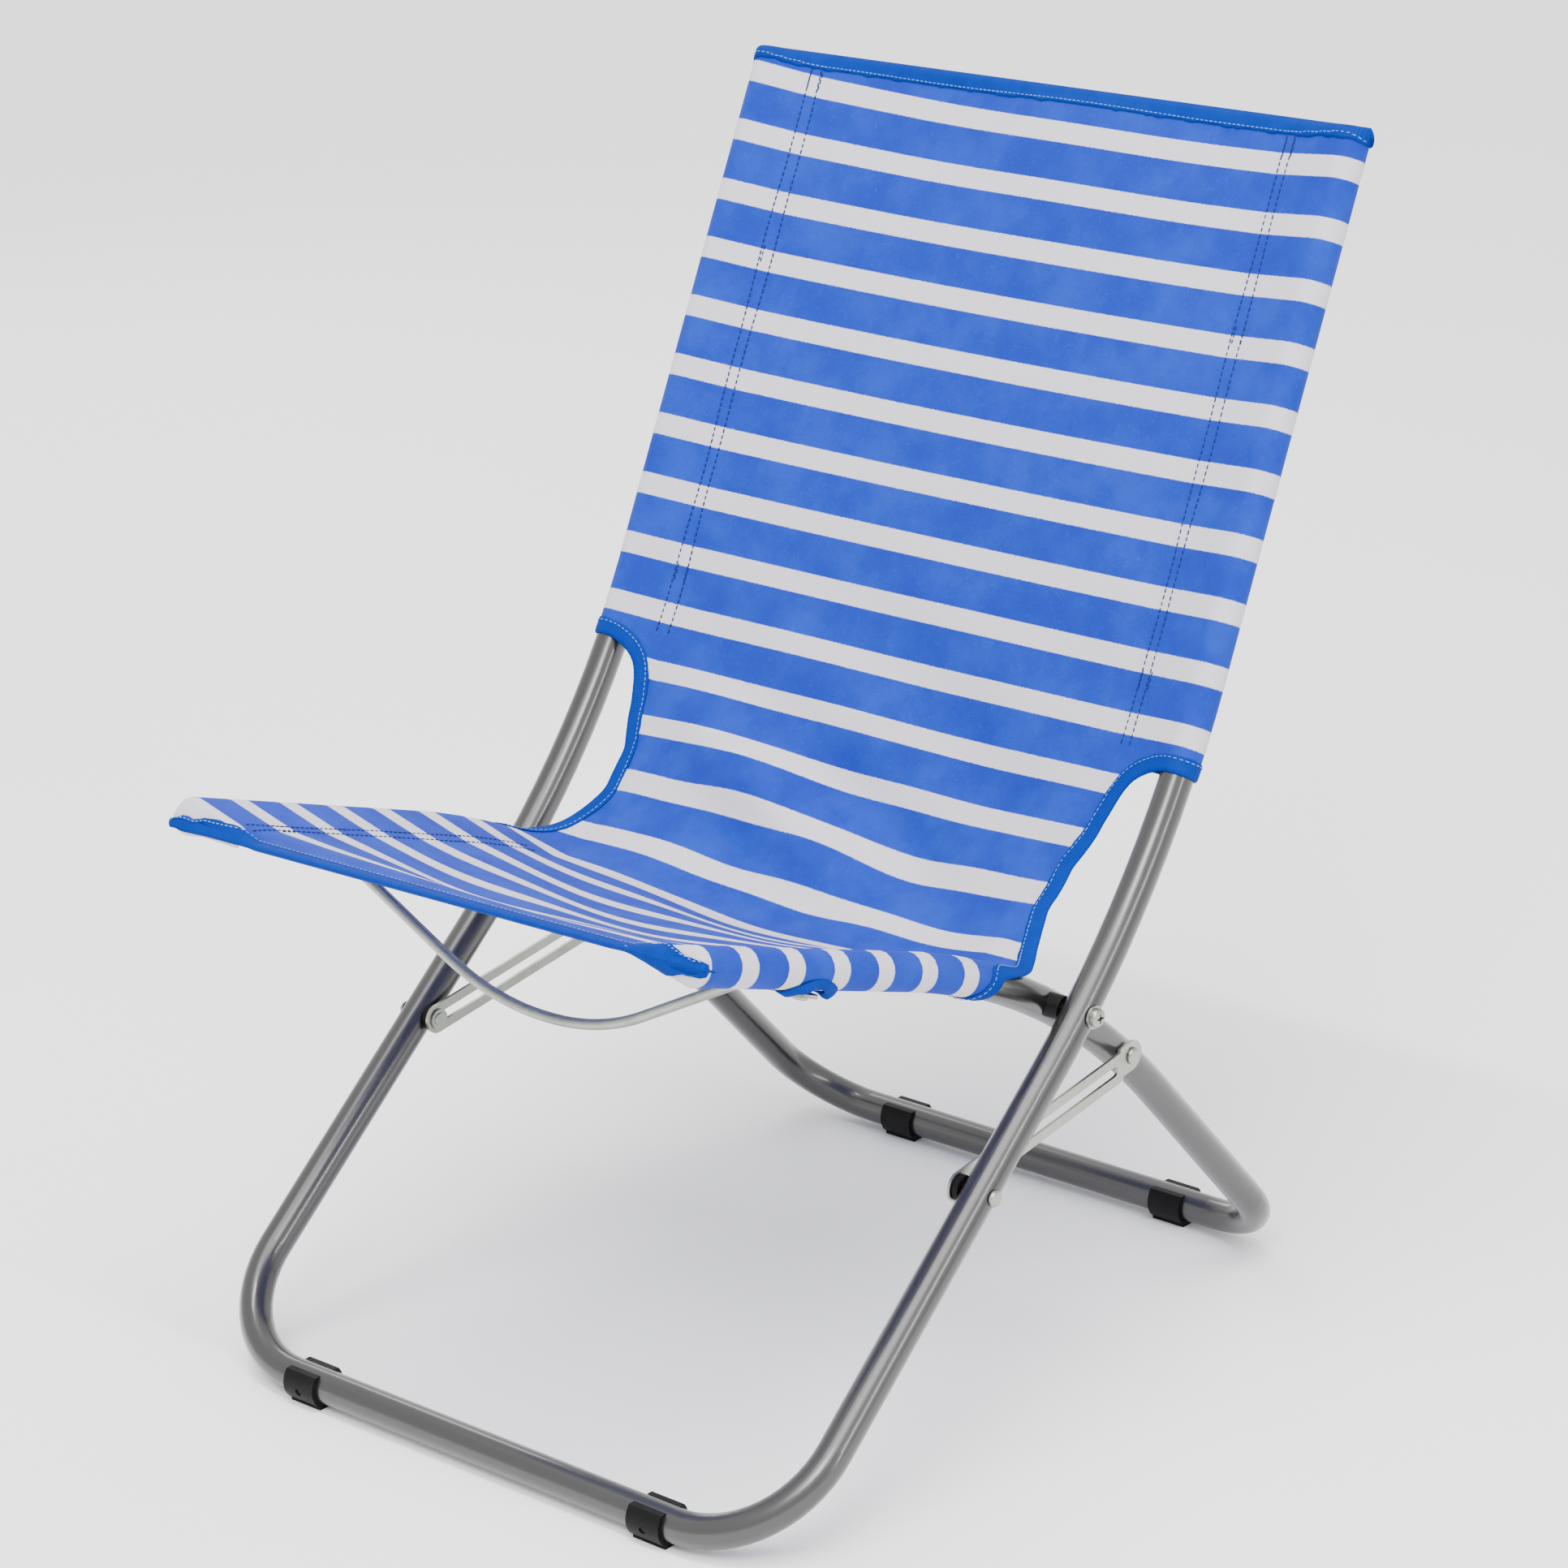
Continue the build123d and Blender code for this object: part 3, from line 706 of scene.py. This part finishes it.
def cloth_normal(a, v):
    """Unit normal of the cloth, towards the sitter on the flat part."""
    e = 0.0005
    low, high = max(0.0, v - e), min(CLOTH_LEN, v + e)
    du = cloth_place(a + e, v) - cloth_place(a - e, v)
    dv = cloth_place(a, high) - cloth_place(a, low)
    return dv.cross(du).normalized()


def hem_chain(v, half):
    """The top or front edge, from the outer side of one tube to that of the other."""
    edge = sleeve_side(half)
    count = round(2 * edge / TAPE_STEP)
    inward = 1.0 if v == 0.0 else -1.0
    return [(-edge + 2 * edge * i / count, v, (0.0, inward)) for i in range(count + 1)]


def side_chain(side):
    """One bound cut-out: round the end of the back sleeve, down the crook, round the seat sleeve."""
    top_edge = sleeve_edge(OUTER["half"]) - 0.010
    low_edge = sleeve_edge(INNER["half"]) - 0.010
    n = round((top_edge - CUT[0][1]) / TAPE_STEP)
    points = [(top_edge + (CUT[0][1] - top_edge) * i / n, BACK_ROWS_END) for i in range(n)]
    n = round(CROOK_LEN / TAPE_STEP)
    crook = [BACK_ROWS_END + CROOK_LEN * i / n for i in range(n)]
    points += [(half_width(v), v) for v in crook]
    n = round((low_edge - CUT[-1][1]) / TAPE_STEP)
    lower = [CUT[-1][1] + (low_edge - CUT[-1][1]) * i / n for i in range(n + 1)]
    points += [(b, SEAT_ROWS_START + seat_end(b)) for b in lower]
    for _ in range(3):
        threes = zip(points, points[1:], points[2:])
        middle = [((p[0] + 2 * q[0] + r[0]) / 4, (p[1] + 2 * q[1] + r[1]) / 4) for p, q, r in threes]
        points = [points[0]] + middle + [points[-1]]
    chain = []
    for i, (a, v) in enumerate(points):
        p, q = points[max(0, i - 1)], points[min(len(points) - 1, i + 1)]
        d = np.array([q[0] - p[0], q[1] - p[1]])
        d = d / np.linalg.norm(d)
        chain.append((side * a, v, (side * -d[1], d[0])))
    return chain


def inland(a, v, into, depth):
    """Cloth coordinates at a distance from the edge, measured on the cloth where a sleeve closes."""
    if into[0] == 0.0 and depth > 0 and (v == 0.0 or v == CLOTH_LEN):
        here, done, s = cloth_place(a, v), 0.0, 0.0
        while done < depth:
            step = 0.00012 if s < HEM - CAP_END else 0.0008
            there = cloth_place(a, v + into[1] * (s + step))
            done += (there - here).length
            here, s = there, s + step
        return a, v + into[1] * s
    return a + into[0] * depth, min(CLOTH_LEN, max(0.0, v + into[1] * depth))


def tape_width(a, v, half):
    """Over a closed sleeve end the tape spreads wider at the top hem, and is folded narrower in front."""
    if v == 0.0:
        return TAPE_WIDE + 0.7 * max(0.0, section(abs(a), half)[1] - SEAM_OUT)
    return TAPE_WIDE * (1 - 0.60 * smooth(abs(a), half - 0.020, half + 0.004))


print("edge chains ready")

# %% [markdown]
# ## The binding tape
#
# The tape is a strip folded over the edge, so its section is a narrow U: one leaf on each face of the
# cloth and a rounded fold at the edge. Along the two hems the under leaf lies on the under layer of the
# sleeves, which mirrors the upper one. The section is carried along the chain.

# %% Make the tape


def tape_mesh(name, rings, depths, runs):
    """A folded strip from rings of points, with the thickness of woven tape."""
    pts = [p for ring in rings for p in ring]
    tuv = [(depth, run) for run in runs for depth in depths]
    k = len(depths)
    quads = []
    for i in range(len(rings) - 1):
        for j in range(k - 1):
            quads.append((i * k + j, i * k + j + 1, (i + 1) * k + j + 1, (i + 1) * k + j))
    o = mesh_piece(name, pts, quads, tuv)
    m = o.modifiers.new("thickness", "SOLIDIFY")
    m.thickness = TAPE_T * 0.55
    m.offset = 0.0
    apply_modifiers(o)
    o.data.materials.append(tape.material)
    return o


def mirrored(a, v, point, normal):
    """The point and normal on the under layer, straight below one on the upper layer."""
    _, _, p, n = cloth_frame(a, v)
    axis = Vector((0, n[0], n[1]))
    level = Vector((point.x, p[0], p[1]))
    return point - axis * 2 * (point - level).dot(axis), normal - axis * 2 * normal.dot(axis)


def bind(name, chain, half=None):
    """Folded tape along a chain, with a slightly uneven edge as sewn tape has. half is given for a hem."""
    lift = 0.00045 + TAPE_T / 2
    shares = (1.0, 0.86, 0.72, 0.58, 0.44, 0.30, 0.15)
    rings, runs = [], []
    run, last = 0.0, None
    for a, v, into in chain:
        base = cloth_place(a, v)
        run += (base - last).length if last is not None else 0.0
        last = base
        width = tape_width(a, v, half) if half else TAPE_WIDE
        width *= 1 + 0.03 * math.sin(run * 210) + 0.02 * math.sin(run * 517)
        upper, lower = [], []
        for share in shares:
            spot_a, spot_v = inland(a, v, into, width * share)
            spot = cloth_place(spot_a, spot_v)
            n = cloth_normal(spot_a, spot_v)
            upper.append(spot + n * lift)
            if half:
                under, under_n = mirrored(spot_a, spot_v, spot, n)
                lower.append(under + under_n * lift)
            else:
                lower.append(spot - n * lift)
        if half:
            _, _, p, n2 = cloth_frame(a, v)
            base = Vector((base.x, p[0], p[1]))
            axis = Vector((0, n2[0], n2[1]))
            away = Vector((0, n2[1], -n2[0])) * into[1]
        else:
            axis = n
            away = (base - spot).normalized()
        shoulder, rise = base + away * 0.0010, axis * lift * 0.8
        rim = [shoulder + rise, base + away * 0.0017, shoulder - rise]
        rings.append(upper + rim + lower[::-1])
        runs.append(run)
    if half:
        rings, runs = tuck_ends(rings, runs)
    depths = [TAPE_WIDE * s for s in shares] + [0.001, 0.0, 0.001] + [TAPE_WIDE * s for s in shares[::-1]]
    return tape_mesh(name, rings, depths, runs)


TUCK = ((0.0016, 0.95), (0.0032, 0.84), (0.0045, 0.60), (0.0051, 0.30))


def tuck_ends(rings, runs):
    """The tape runs a little past each end, pinched and folded back on itself."""
    for at, step in ((0, 1), (-1, -1)):
        ring, inner = rings[at], rings[at + step]
        middle = sum(ring, Vector()) / len(ring)
        out = (middle - sum(inner, Vector()) / len(inner)).normalized()
        extra = []
        for reach, size in TUCK:
            extra.append([middle + (p - middle) * size + out * reach for p in ring])
        lengths = [runs[at] - step * reach for reach, _ in TUCK]
        if at == 0:
            rings, runs = extra[::-1] + rings, lengths[::-1] + runs
        else:
            rings, runs = rings + extra, runs + lengths
    return rings, runs


tapes = [
    bind("binding_top", hem_chain(0.0, OUTER["half"]), OUTER["half"]),
    bind("binding_front", hem_chain(CLOTH_LEN, INNER["half"]), INNER["half"]),
    bind("binding_side_right", side_chain(1)),
    bind("binding_side_left", side_chain(-1)),
]
print([(t.name, len(t.data.polygons)) for t in tapes])

# %% [markdown]
# ## Bound openings for the spreader
#
# Under each seat rail the sleeve has a small opening, where the end of the spreader is screwed to the
# tube. Its edge is bound in the same tape, gathered and a little crumpled, and it hangs just below.

# %% Bind the openings
SPREADER_AT = 0.099
HOLE_LONG, HOLE_WIDE = 0.0165, 0.0100
LIP = ((1.55, 0.0006), (1.38, 0.0020), (1.16, 0.0031), (1.02, 0.0026), (0.96, 0.0012), (1.04, 0.0007))


def opening_tape(name, side):
    """A ring of crumpled tape round the opening under one seat rail."""
    centre_v = CLOTH_LEN - HEM - SPREADER_AT - 0.002
    centre_b = sleeve_side(INNER["half"], -math.pi / 2)
    count = 56
    rings, runs = [], []
    for i in range(count + 1):
        turn = 2 * math.pi * i / count
        ring = []
        crumple = 1 + 0.35 * math.sin(3 * turn + side) + 0.25 * math.sin(7 * turn + 2.0)
        for share, height in LIP:
            b = centre_b + HOLE_WIDE * share * math.cos(turn)
            v = centre_v + HOLE_LONG * share * math.sin(turn)
            n = cloth_normal(side * b, v)
            ring.append(cloth_place(side * b, v) + n * (0.0004 + height * crumple))
        rings.append(ring)
        runs.append(i * 0.0016)
    return tape_mesh(name, rings, [0.001 * j for j in range(len(LIP))], runs)


openings = [opening_tape("binding_opening_right", 1), opening_tape("binding_opening_left", -1)]
print([(t.name, len(t.data.polygons)) for t in openings])

# %% [markdown]
# ## Stitches
#
# Sewing shows as short raised dashes. One stitch is a small faceted bead, long and flat. It is made
# once with operators from a sphere, and its points are then copied along every seam.

# %% Model one stitch
select_only()
bpy.ops.mesh.primitive_uv_sphere_add(segments=6, ring_count=5, radius=0.5)
bead = bpy.context.object
bead.name = "stitch_pattern"
bpy.ops.object.mode_set(mode="EDIT")
bpy.ops.mesh.select_all(action="SELECT")
bpy.ops.transform.rotate(value=math.pi / 2, orient_axis="Y", center_override=(0, 0, 0))
bpy.ops.transform.resize(value=(1.0, 0.32, 0.22), center_override=(0, 0, 0))
bpy.ops.object.mode_set(mode="OBJECT")
bead_points = [v.co.copy() for v in bead.data.vertices]
bead_faces = [tuple(p.vertices) for p in bead.data.polygons]
bpy.data.objects.remove(bead, do_unlink=True)
print("stitch has", len(bead_faces), "faces")

# %% Sew along lines of cloth coordinates


def sew(name, lines, finish, length=0.0034, pitch=0.0043, lift=0.0006):
    """Stitches along lines of (a, v) points; each line is straight between its points."""
    pts, quads = [], []
    for line in lines:
        places = [cloth_place(*p) for p in line]
        steps = [0.0]
        for p, q in zip(places, places[1:]):
            steps.append(steps[-1] + (q - p).length)
        s = pitch / 2
        while s < steps[-1] - pitch / 2:
            i = max(0, int(np.searchsorted(steps, s)) - 1)
            t = (s - steps[i]) / max(1e-9, steps[i + 1] - steps[i])
            a = line[i][0] + (line[i + 1][0] - line[i][0]) * t
            v = line[i][1] + (line[i + 1][1] - line[i][1]) * t
            along_line = (places[i + 1] - places[i]).normalized()
            n = cloth_normal(a, v)
            side = n.cross(along_line).normalized()
            spin = random.uniform(-0.06, 0.06)
            forward = (along_line + side * spin).normalized()
            side = n.cross(forward)
            centre = cloth_place(a, v) + n * lift
            base = len(pts)
            size = length * random.uniform(0.9, 1.1)
            for p in bead_points:
                pts.append(centre + forward * p.x * size + side * p.y * size + n * p.z * size)
            quads += [tuple(base + k for k in f) for f in bead_faces]
            s += pitch
    o = mesh_piece(name, pts, quads)
    o.data.materials.append(finish.material)
    return o


def wandering_line(a, v0, v1, sway, phase, step=0.004):
    """A machine seam that wanders a little, as guided by hand."""
    n = max(2, round(abs(v1 - v0) / step))
    line = []
    for i in range(n + 1):
        v = v0 + (v1 - v0) * i / n
        line.append((a + sway * math.sin(v * 21 + phase) + sway * 0.5 * math.sin(v * 57 + 2 * phase), v))
    return line


SEAM_ROWS = (0.0015, 0.0095)


def seam_lines(half, v0, v1, restarts):
    """The double row that closes each sleeve, with a few short runs sewn twice over."""
    lines = []
    for side in (-1, 1):
        for extra in SEAM_ROWS:
            a = side * (half - SEAM_IN + extra)
            lines.append(wandering_line(a, v0, v1, 0.0007, extra * 300 + side))
            for at in restarts:
                lines.append(wandering_line(a + 0.0006, at, at + 0.016, 0.0003, extra * 500 + at * 40))
    return lines


def tape_row(chain, half=None):
    row = []
    for a, v, into in chain:
        width = tape_width(a, v, half) if half else TAPE_WIDE
        row.append(inland(a, v, into, width * 0.80))
    return row


back_lines = seam_lines(OUTER["half"], 0.010, BACK_ROWS_END - 0.006, (0.012, 0.135, 0.36))
seam_back = sew("seam_back", back_lines, thread)
seat_lines = seam_lines(INNER["half"], SEAT_ROWS_START + 0.014, CLOTH_LEN - 0.010, (0.70, 0.86))
seam_seat = sew("seam_seat", seat_lines, thread)
hems = ((0.0, OUTER["half"]), (CLOTH_LEN, INNER["half"]))
tape_rows = [tape_row(hem_chain(v, half), half) for v, half in hems]
tape_rows += [tape_row(side_chain(1)), tape_row(side_chain(-1))]
seam_tape = sew("seam_tape", tape_rows, pale_thread, length=0.0027, pitch=0.0036, lift=0.0017)
print("stitches", sum(len(o.data.polygons) for o in (seam_back, seam_seat, seam_tape)) // len(bead_faces))

# %% [markdown]
# ## What moves with what
#
# The top tape and the back seams are attached to the outer frame. The front tape, the seat seams and the
# openings are attached to the inner frame. The sling, the side tapes and the tape stitches stay as baked
# meshes, and the CAD sling pieces are hidden.

# %% Attach tapes and seams to the frames
back_end = Vector((0, *(side_point(OUTER, BACK_ROWS_END - HEM)[0])))
seat_start = Vector((0, *(side_point(INNER, SEAT_SLEEVE)[0])))
for piece in (sling, seam_tape, tapes[2], tapes[3]):
    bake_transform(piece)
for piece in (tapes[0], seam_back):
    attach(piece, "outer_frame")
for piece in (tapes[1], seam_seat, *openings):
    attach(piece, "inner_frame")
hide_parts("sling_back", "sling_seat", "sling_crook")

# %% [markdown]
# ## Floor, light and camera
#
# A plain pale floor, soft lamps and two long strips show the silver tubes as even highlights. The camera
# stands in front and to the chair's left side, a little above it, with a long lens.

# %% Floor
select_only()
bpy.ops.mesh.primitive_plane_add(size=40.0, location=(0, 0, 0))
floor = bpy.context.object
floor.name = "floor"
ground = Finish("floor_pale", Specular_IOR_Level=0.2)
haze = ground.noise(1.5, 2.0)
ground.set("Base Color", ground.mix(haze, (0.90, 0.90, 0.90), (0.93, 0.93, 0.93)))
ground.set("Roughness", haze * 0.05 + 0.85)
floor.data.materials.append(ground.material)

# %% Lamps


def lamp(name, place, target, size, power, tint=(1, 1, 1)):
    data = bpy.data.lights.new(name, "AREA")
    data.shape = "RECTANGLE"
    data.size, data.size_y = size
    data.energy = power
    data.color = tint
    o = bpy.data.objects.new(name, data)
    bpy.context.scene.collection.objects.link(o)
    o.location = place
    o.rotation_euler = (Vector(target) - Vector(place)).to_track_quat("-Z", "Y").to_euler()
    return o


MIDDLE = (0, 0, 0.38)
lamp("key", (1.2, -2.2, 2.6), MIDDLE, (1.1, 0.9), 48)
lamp("strip", (2.6, -0.2, 1.5), MIDDLE, (0.10, 2.4), 30)
lamp("rim", (-2.4, 1.6, 1.8), MIDDLE, (0.5, 2.0), 16)
lamp("overhead", (0.2, -0.6, 2.8), (0.2, -0.3, 0), (2.6, 0.10), 58)
sun_data = bpy.data.lights.new("sun", "SUN")
sun_data.energy = 2.2
sun_data.angle = 0.9
sun = bpy.data.objects.new("sun", sun_data)
bpy.context.scene.collection.objects.link(sun)
sun.rotation_euler = (math.radians(24), math.radians(14), 0)
world = bpy.data.worlds.new("studio")
bpy.context.scene.world = world
world.use_nodes = True
world.node_tree.nodes["Background"].inputs[0].default_value = (0.98, 0.985, 1.0, 1.0)
world.node_tree.nodes["Background"].inputs[1].default_value = 1.5

# %% Camera
camera_data = bpy.data.cameras.new("view")
camera_data.lens = 107.26
camera_data.sensor_width = 36.0
camera_data.shift_x = -0.01402
camera_data.shift_y = -0.04245
camera_data.clip_start, camera_data.clip_end = 0.1, 60
camera = bpy.data.objects.new("view", camera_data)
bpy.context.scene.collection.objects.link(camera)
right = Vector((0.76561, 0.64318, -0.01246))
up = Vector((-0.19223, 0.24722, 0.94970))
back = Vector((0.61391, -0.72471, 0.31292))
turned = Matrix((right, up, back)).transposed().to_4x4()
camera.matrix_world = Matrix.Translation((1.84296, -2.13459, 1.34540)) @ turned
bpy.context.scene.camera = camera
print("camera", [round(c, 3) for c in camera.location])
